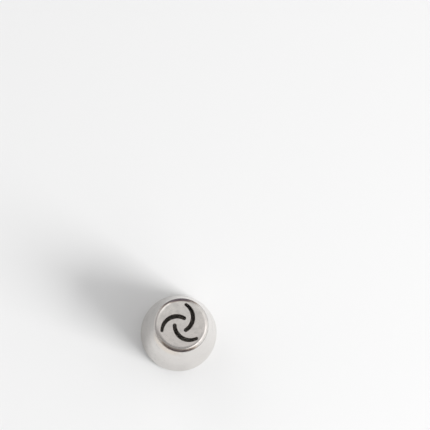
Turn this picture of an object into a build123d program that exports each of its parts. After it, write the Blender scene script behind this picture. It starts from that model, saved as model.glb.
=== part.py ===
from build123d import *
from math import radians, sin, sqrt
import os

os.makedirs("parts", exist_ok=True)

# Piping nozzle that squeezes out a swirled flower in one press.
# A tapered shell drawn from sheet steel stands on its wide end.
# A drawn cap with three curved slots is pushed into its narrow end, and a weld bead closes the joint.
# Lengths are in millimetres. The origin is the centre of the base, and +Z runs along the axis to the tip.

# Cone shell: one sheet of even thickness
base_radius = 17.0
base_land = 3.0
base_blend = 6.0
wall = 0.6
rim_height = 35.5
collar_height = 3.2
collar_blend = 1.6
edge_share = 0.25
groove_share = 0.6

# Slotted cap: a shallow drawn cup, mouth down
# Its shoulder is a wide crown that turns down by crown_turn degrees, then a tighter knuckle.
cap_radius = 11.2
cap_sheet = 0.8
crown_radius = 2.1
crown_turn = 40
knuckle_radius = 0.65
cap_rise = 2.8
seat_depth = 2.6
seat_clearance = 0.02

# Slots: three equal curved cuts, each wider along its middle than at its ends
slot_count = 3
slot_inner_reach = 3.0
slot_margin = 0.12
slot_sweep = 129.8
slot_turn = 116.3
slot_bearing = -52.3
slot_inner_width = 1.6
slot_middle_width = 1.8
slot_outer_width = 1.24
slot_lip_share = 0.12

# Weld bead: fills the groove between the shell's rim and the cap, and slopes up to the cap's skirt
bead_rise = 0.45

# One overrun for every cut that passes through a wall
overrun = 1.0

# Sizes that follow from the ones above
edge_break = wall * edge_share
groove_leg = wall * groove_share
collar_bore = cap_radius + seat_clearance
collar_radius = collar_bore + wall
collar_foot = rim_height - collar_height
face_height = rim_height + cap_rise
skirt_foot = rim_height - seat_depth
shoulder_reach = knuckle_radius + (crown_radius - knuckle_radius) * sin(radians(crown_turn))
face_radius = cap_radius - shoulder_reach
cap_bore = cap_radius - cap_sheet
cap_ceiling = face_height - cap_sheet
crease_drop = crown_radius - cap_sheet - sqrt((crown_radius - cap_sheet) ** 2 - (cap_bore - face_radius) ** 2)
slot_outer_reach = face_radius - slot_margin - slot_outer_width / 2
slot_lip = cap_sheet * slot_lip_share


def on_face(reach, bearing):
    """The point of the cap's face that lies this far from the axis, in this direction."""
    return Vector(reach, 0).rotate(Axis.Z, bearing)


# Cone shell
# The outside of the sheet runs up the land, the taper and the collar, and the wall lies inside it.
with BuildPart() as cone_shell:
    with BuildSketch(Plane.XZ):
        with BuildLine():
            FilletPolyline(
                (base_radius, 0),
                (base_radius, base_land),
                (collar_radius, collar_foot),
                (collar_radius, rim_height),
                radius=[base_blend, collar_blend],
            )
            offset(amount=wall, side=Side.LEFT)
        make_face()
    revolve(axis=Axis.Z)
    base_edges = cone_shell.edges().group_by(Axis.Z)[0]
    chamfer(base_edges, edge_break)
    rim_edges = cone_shell.edges().group_by(Axis.Z)[-1].sort_by(SortBy.RADIUS)
    chamfer(rim_edges[0], groove_leg)
    rim_edges = cone_shell.edges().group_by(Axis.Z)[-1].sort_by(SortBy.RADIUS)
    chamfer(rim_edges[-1], edge_break)
cone_shell.part.label = "cone_shell"

# Swirl slot, seen from above
# Its spine is one arc from the inner end to the outer end.
# Each long side is an arc through points set off from the spine, and each end is a half circle.
slot_start = on_face(slot_inner_reach, slot_bearing)
slot_end = on_face(slot_outer_reach, slot_bearing + slot_sweep)
slot_chord = (slot_end - slot_start).length
slot_bend = slot_chord / 2 / sin(radians(slot_turn / 2))
slot_halves = [slot_inner_width / 2, slot_middle_width / 2, slot_outer_width / 2]
station_shares = [0, 0.5, 1]

with BuildSketch() as swirl_slot:
    with BuildLine():
        spine = RadiusArc(slot_start, slot_end, -slot_bend, mode=Mode.PRIVATE)
        stations = [spine @ share for share in station_shares]
        headings = [spine % share for share in station_shares]
        across = [heading.rotate(Axis.Z, 90) for heading in headings]
        inside = [p + n * half for p, n, half in zip(stations, across, slot_halves)]
        outside = [p - n * half for p, n, half in zip(stations, across, slot_halves)]
        inner_tip = stations[0] - headings[0] * slot_halves[0]
        outer_tip = stations[-1] + headings[-1] * slot_halves[-1]
        ThreePointArc(*inside)
        ThreePointArc(inside[-1], outer_tip, outside[-1])
        ThreePointArc(*outside)
        ThreePointArc(inside[0], inner_tip, outside[0])
    make_face()

# Slotted cap
# The cup's section is the face, the crown and the knuckle of its shoulder, and the skirt. Under the crown
# a bevel keeps the sheet's thickness. The slots go through the face last, and their upper edges are broken.
with BuildPart() as slotted_cap:
    with BuildSketch(Plane.XZ):
        with BuildLine():
            Line((0, face_height), (face_radius, face_height))
            crown = JernArc((face_radius, face_height), (1, 0), crown_radius, -crown_turn)
            knuckle = JernArc(crown @ 1, crown % 1, knuckle_radius, crown_turn - 90)
            Polyline(
                knuckle @ 1,
                (cap_radius, skirt_foot),
                (cap_bore, skirt_foot),
                (cap_bore, cap_ceiling - crease_drop),
                (face_radius, cap_ceiling),
                (0, cap_ceiling),
                (0, face_height),
            )
        make_face()
    revolve(axis=Axis.Z)
    with BuildSketch(Plane.XY.offset(face_height + overrun)):
        with PolarLocations(0, slot_count):
            add(swirl_slot.sketch)
    extrude(amount=-(cap_sheet + 2 * overrun), mode=Mode.SUBTRACT)
    slot_edges = slotted_cap.faces().sort_by(Axis.Z)[-1].inner_wires().edges()
    chamfer(slot_edges, slot_lip)
slotted_cap.part.label = "slotted_cap"

# Weld bead
# It lies on the groove's slope and on the cap's skirt, and its open side slopes out from the cap.
with BuildPart() as weld_bead:
    with BuildSketch(Plane.XZ):
        with BuildLine():
            bead_root = (cap_radius, rim_height - groove_leg - seat_clearance)
            bead_toe = (collar_bore + groove_leg, rim_height)
            bead_top = (cap_radius, rim_height + bead_rise)
            Polyline(bead_root, bead_toe, bead_top, close=True)
        make_face()
    revolve(axis=Axis.Z)
weld_bead.part.label = "weld_bead"

export_step(cone_shell.part, "parts/cone_shell.step")
export_step(slotted_cap.part, "parts/slotted_cap.step")
export_step(weld_bead.part, "parts/weld_bead.step")
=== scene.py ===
import math

import bpy
from mathutils import Matrix, Vector


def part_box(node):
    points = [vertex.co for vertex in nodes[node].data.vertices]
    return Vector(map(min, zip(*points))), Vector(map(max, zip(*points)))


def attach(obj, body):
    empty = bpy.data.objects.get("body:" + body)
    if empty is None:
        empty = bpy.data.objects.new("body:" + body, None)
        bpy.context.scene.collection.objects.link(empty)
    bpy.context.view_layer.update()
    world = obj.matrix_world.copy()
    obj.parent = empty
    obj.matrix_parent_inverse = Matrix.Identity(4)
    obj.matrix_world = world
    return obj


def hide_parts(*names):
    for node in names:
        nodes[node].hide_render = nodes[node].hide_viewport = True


# A stainless piping nozzle stands on its wide end on a pale floor, seen from almost straight above.
# Lengths are in metres. The nozzle's axis is Z, and azimuths are counter-clockwise from +X, in degrees.
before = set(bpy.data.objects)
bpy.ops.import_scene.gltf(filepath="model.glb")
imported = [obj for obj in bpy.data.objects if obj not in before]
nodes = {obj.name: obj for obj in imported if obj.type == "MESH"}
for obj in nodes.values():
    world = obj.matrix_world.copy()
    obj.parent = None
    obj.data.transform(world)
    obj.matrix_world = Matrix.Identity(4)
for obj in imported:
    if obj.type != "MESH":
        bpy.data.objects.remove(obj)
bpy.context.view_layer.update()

MM = 0.001

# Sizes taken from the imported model
BASE_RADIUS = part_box("cone_shell")[1].x
RIM_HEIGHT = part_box("cone_shell")[1].z
CAP_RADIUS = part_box("slotted_cap")[1].x
FACE_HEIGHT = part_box("slotted_cap")[1].z
BEAD_TOE_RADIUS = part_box("weld_bead")[1].x
BEAD_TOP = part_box("weld_bead")[1].z

# Parts of the shell and the cap, from the design
WALL = 0.6 * MM
LAND_HEIGHT = 3.0 * MM
COLLAR_HEIGHT = 3.2 * MM
COLLAR_RADIUS = CAP_RADIUS + 0.62 * MM
FACE_RADIUS = CAP_RADIUS - 1.58 * MM
CAP_SHEET = 0.8 * MM

# Weld bead: fine ripples as the torch leaves them. A wave is how many there are round the seam, how far
# it goes and the azimuth of a crest. Bow and drift are in radians of a ripple, width in shares of the bead.
RIPPLE_COUNT = 150
RIPPLE_STEPS = 6
RIPPLE_DEPTH = 0.018 * MM
RIPPLE_BOW = 2.2
DRIFT_WAVES = ((3, 1.6, 17), (7, 0.8, -4))
BEAD_BULGE = 0.07 * MM
BEAD_POINTS = 9
BEAD_ROOT_DEPTHS = (0.10 * MM, 0.35 * MM)
WIDTH_WAVES = ((1, 0.06, 120), (5, 0.04, 3))
WIDENING = 0.22

# The photograph's camera: the nozzle stands left of and below the middle of the picture
CAMERA_PLACE = Vector((-34.55, -103.42, 1000.0)) * MM
CAMERA_AIM = Vector((16.44, 54.09, 0.0)) * MM
CAMERA_LENS = 187.11

# Floor: a painted pool of light, pale over what the photograph's frame shows, and greyer far away
FLOOR_RADIUS = 0.6
FLOOR_CORNERS = 128
FLOOR_ROUGHNESS = 0.9
PAINTED_POOL_CENTRE = (0.02, 0.05, 0.0)
PAINTED_POOL_RADIUS = 0.14
PAINTED_POOL_EDGE = 0.32
NEAR_FLOOR = (0.87, 0.87, 0.87)
FAR_FLOOR = (0.36, 0.36, 0.36)

# Studio: bright overhead and to both sides, darker in front and behind. The ranges are along Y or Z.
OVERHEAD_LIGHT = 0.71
FRONT_LIGHT = 0.32
FRONT_RANGE = (0.04, -0.20)
BACK_LIGHT = 0.42
BACK_RANGE = (0.25, 0.90)
HORIZON_LIGHT = 0.68
HORIZON_RANGE = (0.05, 0.08)

# Soft glows: how bright each is, and its oval of the sky in degrees
GLOWS = [
    (1.33, {"azimuth": -32, "elevation": 33, "spread": 74, "rise": 34, "edge": 0.2}),
    (0.92, {"azimuth": 122, "elevation": 36, "spread": 36, "rise": 32, "edge": 0.4}),
    (0.30, {"azimuth": 38, "elevation": 32, "spread": 36, "rise": 44, "edge": 0.5}),
]

# The first glow's share on the floor
LAMP_RADIANCE = 11.0
LAMP_DISTANCE = 2.0
LAMP_AZIMUTH = -28
LAMP_ELEVATION = 31
LAMP_SPREAD = 24
LAMP_RISE = 30

# Colours
CLEAN_STEEL = (0.775, 0.745, 0.715)
FACE_STEEL = (0.835, 0.80, 0.76)
ROSY_STEEL = (0.80, 0.745, 0.715)
SMUDGED_AND_SHADOWED_STEEL = (0.64, 0.615, 0.59)
INNER_PAINTED_LIGHT_STEEL = (0.91, 0.865, 0.825)
PEACH_STEEL = (0.80, 0.69, 0.575)
WORN_AND_HIGHLIGHT_STEEL = (0.84, 0.82, 0.80)
CUT_STEEL = (0.82, 0.72, 0.64)
BURR_STEEL = (0.40, 0.36, 0.33)
GREY_TINT = (0.50, 0.475, 0.47)
PURPLE_TINT = (0.17, 0.13, 0.17)

# The steel's colour from heat tint and painted shade, from least to most: the darker stops are partly heat
# tint and partly painted shade of the seam's groove and painted reflection of the dark front and back
HEAT_AND_SHADE_COLOURS = [
    (0.0, CLEAN_STEEL),
    (0.18, (0.74, 0.68, 0.62)),
    (0.42, (0.46, 0.375, 0.31)),
    (0.68, (0.25, 0.195, 0.175)),
    (1.0, (0.12, 0.10, 0.11)),
]

# How strong heat tint and painted shade are at the back and the left of the seam, where the front is 1
REAR_HEAT_AND_SHADE = 1.3
LEFT_HEAT_AND_SHADE = 0.42

# Sides of the nozzle: the azimuth that each faces, and how far it reaches to either hand
FRONT_WELD = (-99, 55)
REAR_WELD = (101, 60)
LEFT_WELD = (168, 70)
BACK_TINT_AND_SHADE = (94, 33)
GREY_WELD = (176, 52)
PALE_TOE = (185, 75)
SHADED_COLLAR = (-76, 42)
PEACH_PATCH = (-128, 46)
RIM_HIGHLIGHT_SIDE = (-160, 60)
PAINTED_SHADOW_BACK = (128, 60)
PAINTED_SHADOW_FRONT = (-128, 70)
PAINTED_SHADOW_RIGHT = (70, 80)

# Depths below the rim between which the shell's looks come in
HEAT_AND_SHADE_DEPTHS = (0.4 * MM, 0.0)
BACK_TINT_AND_SHADE_DEPTHS = (0.7 * MM, 0.0)
SHADE_DEPTHS = (2.4 * MM, 0.2 * MM)
PEACH_DEPTHS = (10 * MM, 5 * MM)
RIM_HIGHLIGHT_DEPTHS = (0.15 * MM, 0.05 * MM)

# Heights between which the painted shadow on the shell's front gets stronger, and between which the edge of
# the base is worn
PAINTED_SHADOW_HEIGHTS = (22 * MM, 8 * MM)
EDGE_HEIGHTS = (0.5 * MM, 0.1 * MM)

# Radii between which heat tint and painted shade colour the cap's shoulder, and its crown at the back
SHOULDER_RADII = (FACE_RADIUS + 0.95 * MM, CAP_RADIUS)
CROWN_RADII = (FACE_RADIUS + 0.2 * MM, FACE_RADIUS + 1.1 * MM)

# Radii between which the bead's toe starts
TOE_RADII = (CAP_RADIUS + 0.12 * MM, CAP_RADIUS + 0.40 * MM)

# How much the slots' walls and their broken edges face up
WALL_FACING = 0.4
LIP_FACING = 0.65
LIP_TOLERANCE = 0.2

# Roughness of the polish, from the smoothest to the roughest ring, and of the weld from cold to hot
SHELL_ROUGHNESS = (0.15, 0.23)
CAP_ROUGHNESS = (0.24, 0.31)
WELD_ROUGHNESS = (0.30, 0.50)


class Graph:
    """The nodes of a material or of the world."""

    def __init__(self, owner):
        owner.use_nodes = True
        self.owner = owner
        self.tree = owner.node_tree

    def put(self, socket, value):
        """Sets a socket to another node's output, a number, a colour or a vector."""
        if isinstance(value, bpy.types.NodeSocket):
            self.tree.links.new(value, socket)
        elif isinstance(value, tuple) and socket.type == "RGBA":
            socket.default_value = (*value, 1)
        else:
            socket.default_value = value

    def add(self, kind, values, **settings):
        """A node with these settings. Its inputs, by name or number, are values or other nodes' outputs."""
        node = self.tree.nodes.new("ShaderNode" + kind)
        for key, value in settings.items():
            setattr(node, key, value)
        for key, value in values.items():
            self.put(node.inputs[key], value)
        return node

    def math(self, operation, a, b=0.0, c=0.0):
        return self.add("Math", {0: a, 1: b, 2: c}, operation=operation).outputs[0]

    def times(self, *values):
        product = values[0]
        for value in values[1:]:
            product = self.math("MULTIPLY", product, value)
        return product

    def plus(self, *values):
        total = values[0]
        for value in values[1:]:
            total = self.math("ADD", total, value)
        return total

    def dot(self, a, b):
        return self.add("VectorMath", {0: a, 1: b}, operation="DOT_PRODUCT").outputs["Value"]

    def remap(self, value, low, high, start=0.0, end=1.0, how="SMOOTHSTEP"):
        """Goes from start, where the value is low, to end, where it is high, and no further."""
        inputs = {"Value": value, "From Min": low, "From Max": high, "To Min": start, "To Max": end}
        return self.add("MapRange", inputs, interpolation_type=how).outputs["Result"]

    def vector(self, x, y, z):
        return self.add("CombineXYZ", {0: x, 1: y, 2: z}).outputs[0]

    def noise(self, vector, scale, detail=2.0, roughness=0.5):
        inputs = {"Vector": vector, "Scale": scale, "Detail": detail, "Roughness": roughness}
        return self.add("TexNoise", inputs).outputs["Fac"]

    def blend(self, share, a, b):
        """Colour a with this share of colour b."""
        return self.add("Mix", {"Factor": share, 6: a, 7: b}, data_type="RGBA").outputs[2]

    def ramp(self, value, stops):
        """The colour that these stops give at this value."""
        node = self.add("ValToRGB", {"Fac": value})
        elements = node.color_ramp.elements
        while len(elements) < len(stops):
            elements.new(0.5)
        for element, (position, colour) in zip(elements, stops):
            element.position = position
            element.color = (*colour, 1)
        return node.outputs["Color"]

    def bump(self, height, distance, strength, below=None):
        inputs = {"Height": height, "Distance": distance, "Strength": strength}
        if below is not None:
            inputs["Normal"] = below
        return self.add("Bump", inputs).outputs["Normal"]


class Steel(Graph):
    """A stainless-steel material, with the places on the nozzle that its looks depend on."""

    def __init__(self, name):
        super().__init__(bpy.data.materials.new(name))
        self.shader = self.tree.nodes["Principled BSDF"]
        self.set("Metallic", 1.0)
        spot = self.add("TexCoord", {})
        self.place = spot.outputs["Object"]
        self.facing = self.add("SeparateXYZ", {0: spot.outputs["Normal"]}).outputs[2]
        x, self.northing, self.height = self.add("SeparateXYZ", {0: self.place}).outputs
        squares = self.plus(self.times(x, x), self.times(self.northing, self.northing))
        self.radius = self.math("SQRT", squares)
        self.east = self.math("DIVIDE", x, self.radius)
        self.north = self.math("DIVIDE", self.northing, self.radius)

    def set(self, socket, value):
        self.put(self.shader.inputs[socket], value)

    def toward(self, azimuth, half_width):
        """1 on the side that faces this azimuth, and 0 from half_width degrees away."""
        a = math.radians(azimuth)
        along = self.plus(self.times(self.east, math.cos(a)), self.times(self.north, math.sin(a)))
        return self.remap(along, math.cos(math.radians(half_width)), 1.0)

    def below_rim(self, low, high, most=1.0):
        """0 where the depth below the rim is low or more, and most where it is high or less."""
        return self.remap(self.height, RIM_HEIGHT - low, RIM_HEIGHT - high, 0.0, most)

    def heat_and_shade(self):
        """How much heat tint and painted shade each side of the seam gets: most in front and behind, a
        little on the left.
        """
        front = self.toward(*FRONT_WELD)
        rear = self.times(self.toward(*REAR_WELD), REAR_HEAT_AND_SHADE)
        left = self.times(self.toward(*LEFT_WELD), LEFT_HEAT_AND_SHADE)
        strongest = self.math("MAXIMUM", self.math("MAXIMUM", front, rear), left)
        patches = self.remap(self.noise(self.place, scale=420.0, detail=3.0), 0.3, 0.7, 0.82, 1.08)
        return self.times(strongest, patches)

    def heat_and_shade_tint(self, tint_and_shade):
        """The steel's colour at this share of heat tint and painted shade, which on the left is a plain
        grey.
        """
        grey = self.times(self.toward(*GREY_WELD), self.remap(tint_and_shade, 0.06, 0.26, 0.0, 0.85))
        return self.blend(grey, self.ramp(tint_and_shade, HEAT_AND_SHADE_COLOURS), GREY_TINT)

    def drawn_noise(self, value, turns, across, detail):
        """Noise that is drawn out round the axis and fine along the given value."""
        easting = self.times(self.east, turns)
        northing = self.times(self.north, turns)
        vector = self.vector(easting, northing, self.times(value, across))
        return self.noise(vector, scale=1.0, detail=detail)

    def smudges(self, scale):
        return self.noise(self.place, scale, detail=5.0, roughness=0.6)

    def scratches(self, value, across):
        """Thin sparse lines round the axis."""
        return self.remap(self.drawn_noise(value, turns=2.6, across=across, detail=1.0), 0.66, 0.74)


def shell_material():
    steel = Steel("shell_steel")
    taper_top = RIM_HEIGHT - COLLAR_HEIGHT
    outline = steel.remap(steel.height, LAND_HEIGHT, taper_top, BASE_RADIUS, COLLAR_RADIUS, "LINEAR")
    inside = steel.math("LESS_THAN", steel.math("SUBTRACT", steel.radius, outline), -WALL / 2)

    # Fine rings from polishing on a spindle, and faint streaks up the cone from drawing
    rings = steel.drawn_noise(steel.height, turns=4.0, across=6000.0, detail=4.0)
    streaks = steel.drawn_noise(steel.height, turns=16.0, across=40.0, detail=3.0)
    scratches = steel.scratches(steel.height, across=1500.0)
    smudges = steel.smudges(scale=150.0)

    # Heat tint and painted shade darken the collar beside the seam, most at the back
    near = steel.below_rim(*HEAT_AND_SHADE_DEPTHS, most=0.22)
    at_back = steel.times(steel.toward(*BACK_TINT_AND_SHADE), steel.below_rim(*BACK_TINT_AND_SHADE_DEPTHS, most=0.68))
    colour = steel.heat_and_shade_tint(steel.times(steel.heat_and_shade(), steel.plus(near, at_back)))

    # In front, a painted shade greys the collar's wall, and heat has left a peach-coloured patch further
    # left
    shade = steel.times(steel.toward(*SHADED_COLLAR), steel.below_rim(*SHADE_DEPTHS, most=0.75))
    colour = steel.blend(shade, colour, GREY_TINT)
    peach = steel.times(steel.toward(*PEACH_PATCH), steel.below_rim(*PEACH_DEPTHS))
    colour = steel.blend(peach, colour, PEACH_STEEL)

    # Painted shadow darkens the left side most, standing in for the floor's shadow mirrored in the cone,
    # and random smudges dull it too
    front_share = steel.remap(steel.height, *PAINTED_SHADOW_HEIGHTS, 0.45, 0.95)
    painted_shadow = steel.plus(
        steel.times(steel.toward(*PAINTED_SHADOW_BACK), 0.9),
        steel.times(steel.toward(*PAINTED_SHADOW_FRONT), front_share),
        steel.times(steel.toward(*PAINTED_SHADOW_RIGHT), 0.4),
    )
    uneven = steel.remap(smudges, 0.3, 0.7, 0.8, 1.1)
    smudges_and_painted_shadow = steel.plus(steel.remap(smudges, 0.50, 0.80, 0.0, 0.4), steel.times(painted_shadow, uneven))
    colour = steel.blend(smudges_and_painted_shadow, colour, SMUDGED_AND_SHADOWED_STEEL)

    # The edge of the base is worn bright, and a painted highlight brightens the rim on the left
    edge = steel.times(steel.remap(steel.height, *EDGE_HEIGHTS), steel.remap(smudges, 0.35, 0.6))
    rim = steel.times(steel.toward(*RIM_HIGHLIGHT_SIDE), steel.below_rim(*RIM_HIGHLIGHT_DEPTHS))
    colour = steel.blend(steel.plus(edge, rim), colour, WORN_AND_HIGHLIGHT_STEEL)
    # Painted light: the inside gets a brighter copy of the steel to lift its shade
    colour = steel.blend(inside, colour, INNER_PAINTED_LIGHT_STEEL)
    steel.set("Base Color", colour)

    rough = steel.plus(
        steel.remap(rings, 0.2, 0.8, *SHELL_ROUGHNESS),
        steel.remap(smudges, 0.4, 0.8, 0.0, 0.09),
        steel.remap(streaks, 0.3, 0.7, -0.02, 0.02),
        steel.times(scratches, 0.08),
        steel.times(inside, 0.25),
    )
    steel.set("Roughness", rough)

    normal = steel.bump(streaks, distance=0.04 * MM, strength=0.5)
    normal = steel.bump(rings, distance=0.002 * MM, strength=0.5, below=normal)
    normal = steel.bump(scratches, distance=0.003 * MM, strength=0.4, below=normal)
    steel.set("Normal", normal)
    return steel.owner


def cap_material():
    steel = Steel("cap_steel")
    on_face = steel.math("LESS_THAN", steel.radius, FACE_RADIUS)
    upright = steel.math("LESS_THAN", steel.math("ABSOLUTE", steel.facing), WALL_FACING)
    on_slot = steel.times(on_face, upright)
    on_lip = steel.times(on_face, steel.math("COMPARE", steel.facing, LIP_FACING, LIP_TOLERANCE))
    underneath = steel.math("LESS_THAN", steel.height, FACE_HEIGHT - 0.9 * CAP_SHEET)
    within = steel.math("LESS_THAN", steel.radius, CAP_RADIUS - CAP_SHEET / 2)
    inside = steel.times(underneath, within)

    # Fine rings from turning, a satin grain, and upright lines where the slots were cut
    outward = steel.math("SUBTRACT", steel.radius, steel.height)
    rings = steel.drawn_noise(outward, turns=3.0, across=7000.0, detail=3.0)
    grain = steel.noise(steel.place, scale=2600.0, detail=3.0)
    drawn_up = steel.add("VectorMath", {0: steel.place, 1: (1, 1, 0.04)}, operation="MULTIPLY").outputs[0]
    cuts = steel.noise(drawn_up, scale=9000.0)
    scratches = steel.scratches(steel.radius, across=1100.0)
    smudges = steel.smudges(scale=480.0)

    # Heat tint and painted shade colour the shoulder more the nearer it is to the seam, and higher up at
    # the back
    shoulder = steel.remap(steel.radius, *SHOULDER_RADII, 0.0, 0.95)
    crown = steel.remap(steel.radius, *CROWN_RADII, 0.0, 0.74)
    crown_at_back = steel.times(steel.toward(*BACK_TINT_AND_SHADE), crown)
    tint_and_shade = steel.math("MAXIMUM", steel.times(steel.heat_and_shade(), shoulder), crown_at_back)
    colour = steel.blend(steel.remap(tint_and_shade, 0.0, 0.2, 1.0, 0.0), steel.heat_and_shade_tint(tint_and_shade), FACE_STEEL)
    forward = steel.remap(steel.northing, FACE_RADIUS, -FACE_RADIUS, 0.0, 0.8)
    rosy = steel.times(forward, steel.remap(tint_and_shade, 0.0, 0.1, 1.0, 0.0))
    colour = steel.blend(rosy, colour, ROSY_STEEL)
    colour = steel.blend(steel.remap(crown_at_back, 0.2, 0.6, 0.0, 0.6), colour, PURPLE_TINT)

    # Smudges show least on the tinted places, and cutting has darkened the slots' edges
    less_tinted = steel.remap(tint_and_shade, 0.05, 0.45, 1.0, 0.2)
    haze = steel.times(steel.remap(smudges, 0.42, 0.68, 0.0, 0.55), less_tinted)
    colour = steel.blend(haze, colour, SMUDGED_AND_SHADOWED_STEEL)
    # Painted light: the inside gets a brighter copy of the steel to lift its shade
    colour = steel.blend(inside, colour, INNER_PAINTED_LIGHT_STEEL)
    colour = steel.blend(on_slot, colour, CUT_STEEL)
    colour = steel.blend(steel.times(on_lip, 0.8), colour, BURR_STEEL)
    steel.set("Base Color", colour)

    rough = steel.plus(
        steel.remap(rings, 0.2, 0.8, *CAP_ROUGHNESS),
        steel.remap(smudges, 0.4, 0.8, 0.0, 0.07),
        steel.times(scratches, 0.06),
        steel.times(inside, 0.10),
        steel.times(on_slot, 0.18),
    )
    steel.set("Roughness", rough)

    normal = steel.bump(grain, distance=0.004 * MM, strength=0.5)
    normal = steel.bump(rings, distance=0.002 * MM, strength=0.5, below=normal)
    normal = steel.bump(steel.times(cuts, on_slot), distance=0.01 * MM, strength=0.6, below=normal)
    steel.set("Normal", normal)
    return steel.owner


def weld_material():
    steel = Steel("weld_steel")
    specks = steel.noise(steel.place, scale=3200.0, detail=3.0)

    # The toe stayed pale on the left
    at_toe = steel.remap(steel.radius, *TOE_RADII)
    pale_toe = steel.times(steel.toward(*PALE_TOE), at_toe, 0.85)
    # Heat tint and painted shade darken the bead most in front and behind
    tint_and_shade = steel.times(steel.heat_and_shade(), steel.math("SUBTRACT", 1.0, pale_toe))
    speckled = steel.times(tint_and_shade, steel.remap(specks, 0.3, 0.7, 0.85, 1.0))
    steel.set("Base Color", steel.heat_and_shade_tint(speckled))

    crust = steel.remap(tint_and_shade, 0.0, 1.0, *WELD_ROUGHNESS)
    steel.set("Roughness", steel.plus(crust, steel.remap(specks, 0.3, 0.7, -0.05, 0.05)))
    steel.set("Normal", steel.bump(specks, distance=0.006 * MM, strength=0.5))
    return steel.owner


def sum_waves(turn, waves):
    return sum(size * math.cos(count * (turn - math.radians(crest))) for count, size, crest in waves)


def bead_section(turn):
    """The bead's outline at this turn, as radii and heights: its open side, then its root."""
    top = Vector((CAP_RADIUS, BEAD_TOP))
    toe = Vector((BEAD_TOE_RADIUS, RIM_HEIGHT))
    outward = (toe - top).orthogonal().normalized()
    drift = sum_waves(turn, DRIFT_WAVES)
    widening = WIDENING + sum_waves(turn, WIDTH_WAVES)
    section = []
    for k in range(BEAD_POINTS):
        share = k / (BEAD_POINTS - 1)
        ripple = math.cos(RIPPLE_COUNT * turn + drift + RIPPLE_BOW * (2 * share - 1) ** 2)
        swell = math.sin(math.pi * share) * (BEAD_BULGE + RIPPLE_DEPTH * ripple)
        spread = Vector(((toe - top).x * widening * share, 0))
        section.append(top.lerp(toe, share) + spread + outward * swell)
    for radius, depth in zip((BEAD_TOE_RADIUS, CAP_RADIUS), BEAD_ROOT_DEPTHS):
        section.append(Vector((radius, RIM_HEIGHT - depth)))
    return section


def make_bead(material):
    """The weld bead with its ripples, in place of the plain ring."""
    segments = RIPPLE_COUNT * RIPPLE_STEPS
    points = []
    for i in range(segments):
        turn = 2 * math.pi * i / segments
        points += [(p.x * math.cos(turn), p.x * math.sin(turn), p.y) for p in bead_section(turn)]
    row = len(points) // segments
    faces = []
    for i in range(segments):
        here = i * row
        there = (i + 1) % segments * row
        for k in range(row):
            after = (k + 1) % row
            faces.append((here + k, here + after, there + after, there + k))
    mesh = bpy.data.meshes.new("weld_ripples")
    mesh.from_pydata(points, [], faces)
    mesh.shade_smooth()
    mesh.materials.append(material)
    bead = bpy.data.objects.new("weld_ripples", mesh)
    bpy.context.scene.collection.objects.link(bead)
    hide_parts("weld_bead")
    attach(bead, "root")


def make_camera():
    data = bpy.data.cameras.new("camera")
    data.lens = CAMERA_LENS
    camera = bpy.data.objects.new("camera", data)
    back = (CAMERA_PLACE - CAMERA_AIM).normalized()
    right = Vector((0, 1, 0)).cross(back).normalized()
    turn = Matrix((right, back.cross(right), back)).transposed()
    camera.matrix_world = Matrix.Translation(CAMERA_PLACE) @ turn.to_4x4()
    bpy.context.scene.collection.objects.link(camera)
    bpy.context.scene.camera = camera


def heading(azimuth, elevation):
    """The direction of this azimuth and elevation, with the directions to its left and above it."""
    a = math.radians(azimuth)
    e = math.radians(elevation)
    out = Vector((math.cos(a) * math.cos(e), math.sin(a) * math.cos(e), math.sin(e)))
    left = Vector((-math.sin(a), math.cos(a), 0))
    return out, left, out.cross(left)


def glow(graph, direction, azimuth, elevation, spread, rise, edge):
    """1 in an oval of the sky this many degrees across and up, and 0 outside it, with a soft edge."""
    out, left, up = heading(azimuth, elevation)
    across = graph.math("DIVIDE", graph.dot(direction, left), math.tan(math.radians(spread / 2)))
    upward = graph.math("DIVIDE", graph.dot(direction, up), math.tan(math.radians(rise / 2)))
    ahead = graph.math("MAXIMUM", graph.dot(direction, out), 0.02)
    reach = graph.math("SQRT", graph.plus(graph.times(across, across), graph.times(upward, upward)))
    return graph.remap(graph.math("DIVIDE", reach, ahead), 1 - edge, 1 + edge, 1.0, 0.0)


def make_world():
    world = bpy.data.worlds.new("studio")
    bpy.context.scene.world = world
    graph = Graph(world)
    direction = graph.add("TexCoord", {}).outputs["Generated"]
    y, z = graph.add("SeparateXYZ", {0: direction}).outputs[1:]
    front = graph.remap(y, *FRONT_RANGE, 0.0, FRONT_LIGHT - OVERHEAD_LIGHT)
    back = graph.remap(y, *BACK_RANGE, 0.0, BACK_LIGHT - OVERHEAD_LIGHT)
    glows = [graph.times(glow(graph, direction, **oval), strength) for strength, oval in GLOWS]
    light = graph.plus(OVERHEAD_LIGHT, front, back, *glows)
    horizon = graph.remap(graph.math("ABSOLUTE", z), *HORIZON_RANGE, 1.0, 0.0)
    light = graph.plus(light, graph.times(horizon, graph.math("SUBTRACT", HORIZON_LIGHT, light)))
    graph.put(world.node_tree.nodes["Background"].inputs["Color"], light)


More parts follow.
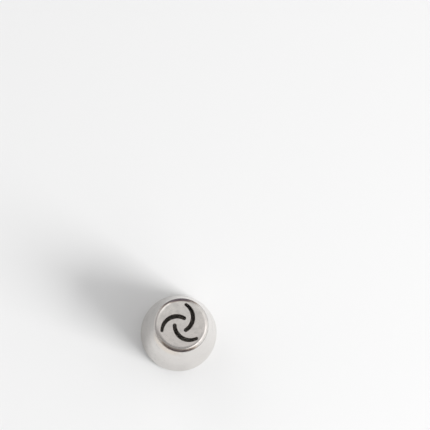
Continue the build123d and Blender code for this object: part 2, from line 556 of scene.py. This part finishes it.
def make_floor_lamp():
    """A softbox for the floor, which the metal doesn't mirror."""
    out, left, up = heading(LAMP_AZIMUTH, LAMP_ELEVATION)
    data = bpy.data.lights.new("floor_lamp", "AREA")
    data.shape = "RECTANGLE"
    data.size = 2 * LAMP_DISTANCE * math.tan(math.radians(LAMP_SPREAD / 2))
    data.size_y = 2 * LAMP_DISTANCE * math.tan(math.radians(LAMP_RISE / 2))
    data.energy = LAMP_RADIANCE * math.pi * data.size * data.size_y
    lamp = bpy.data.objects.new("floor_lamp", data)
    turn = Matrix((left, up, out)).transposed()
    lamp.matrix_world = Matrix.Translation(out * LAMP_DISTANCE) @ turn.to_4x4()
    lamp.visible_camera = False
    lamp.visible_glossy = False
    bpy.context.scene.collection.objects.link(lamp)


def make_floor():
    graph = Graph(bpy.data.materials.new("floor"))
    shader = graph.tree.nodes["Principled BSDF"]
    place = graph.add("TexCoord", {}).outputs["Object"]
    # Painted pool of light: the floor's colour greys away from the pool's centre
    away = graph.add("VectorMath", {0: place, 1: PAINTED_POOL_CENTRE}, operation="DISTANCE").outputs["Value"]
    colour = graph.blend(graph.remap(away, PAINTED_POOL_RADIUS, PAINTED_POOL_EDGE), NEAR_FLOOR, FAR_FLOOR)
    graph.put(shader.inputs["Base Color"], colour)
    shader.inputs["Roughness"].default_value = FLOOR_ROUGHNESS
    shader.inputs["Specular IOR Level"].default_value = 0.0
    turns = [2 * math.pi * i / FLOOR_CORNERS for i in range(FLOOR_CORNERS)]
    points = [(FLOOR_RADIUS * math.cos(t), FLOOR_RADIUS * math.sin(t), 0) for t in turns]
    mesh = bpy.data.meshes.new("floor")
    mesh.from_pydata(points, [], [range(FLOOR_CORNERS)])
    mesh.materials.append(graph.owner)
    floor = bpy.data.objects.new("floor", mesh)
    bpy.context.scene.collection.objects.link(floor)


def dress(name, material):
    slots = nodes[name].data.materials
    slots.clear()
    slots.append(material)


make_camera()
make_world()
make_floor_lamp()
make_floor()
weld_steel = weld_material()
dress("cone_shell", shell_material())
dress("slotted_cap", cap_material())
dress("weld_bead", weld_steel)
make_bead(weld_steel)

bpy.context.scene.view_settings.view_transform = "Standard"
